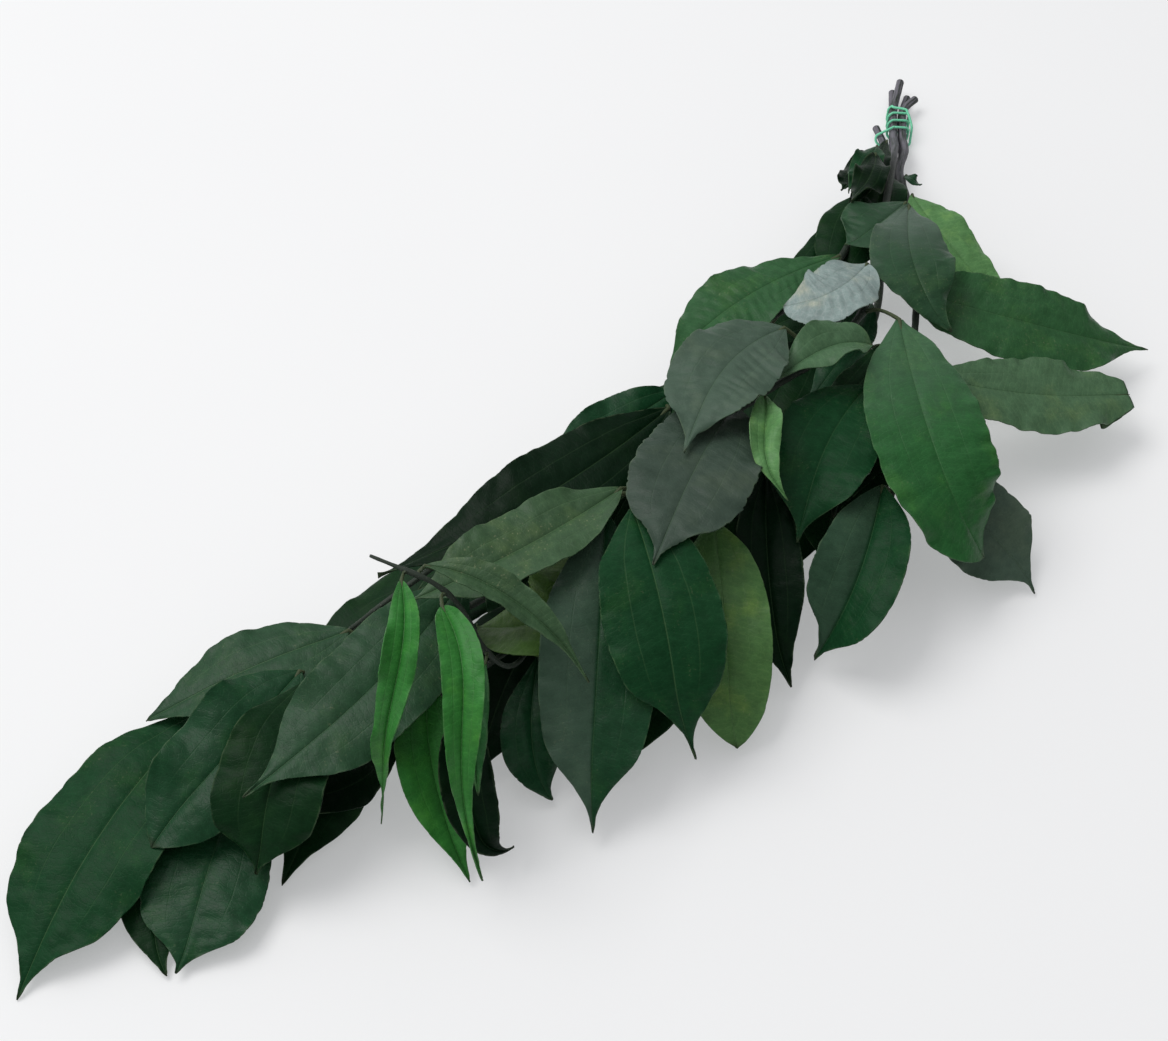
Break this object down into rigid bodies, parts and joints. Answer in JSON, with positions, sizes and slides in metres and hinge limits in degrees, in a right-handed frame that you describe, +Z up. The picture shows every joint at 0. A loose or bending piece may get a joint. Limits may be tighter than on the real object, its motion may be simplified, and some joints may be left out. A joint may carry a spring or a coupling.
{
  "type": "preserved cocculus branch bunch",
  "caption": "Tied bunch of preserved evergreen cocculus branches lying flat, with long pointed glossy leaves and an elastic band round the cut stems.",
  "frame": {"origin": "on the surface the bunch lies on, under the middle of its bounding box", "axes": "+X from the tied cut ends to the leafy tips, the longest way, +Z up from the surface"},
  "size_m": [0.6774, 0.258, 0.1064],
  "materials": {
    "foliage_1": "satin evergreen leaf on a grey-green woody stem",
    "foliage_2": "satin evergreen leaf on a grey-green woody stem",
    "foliage_3": "satin evergreen leaf on a grey-green woody stem",
    "foliage_4": "satin evergreen leaf on a grey-green woody stem",
    "foliage_5": "satin evergreen leaf on a grey-green woody stem",
    "band": "matt pale green elastic"
  },
  "bodies": {
    "root": {"branch_1": "foliage_1", "branch_2": "foliage_2", "branch_3": "foliage_3", "branch_4": "foliage_4", "branch_5": "foliage_5", "tie_band": "band"}
  },
  "joints": []
}
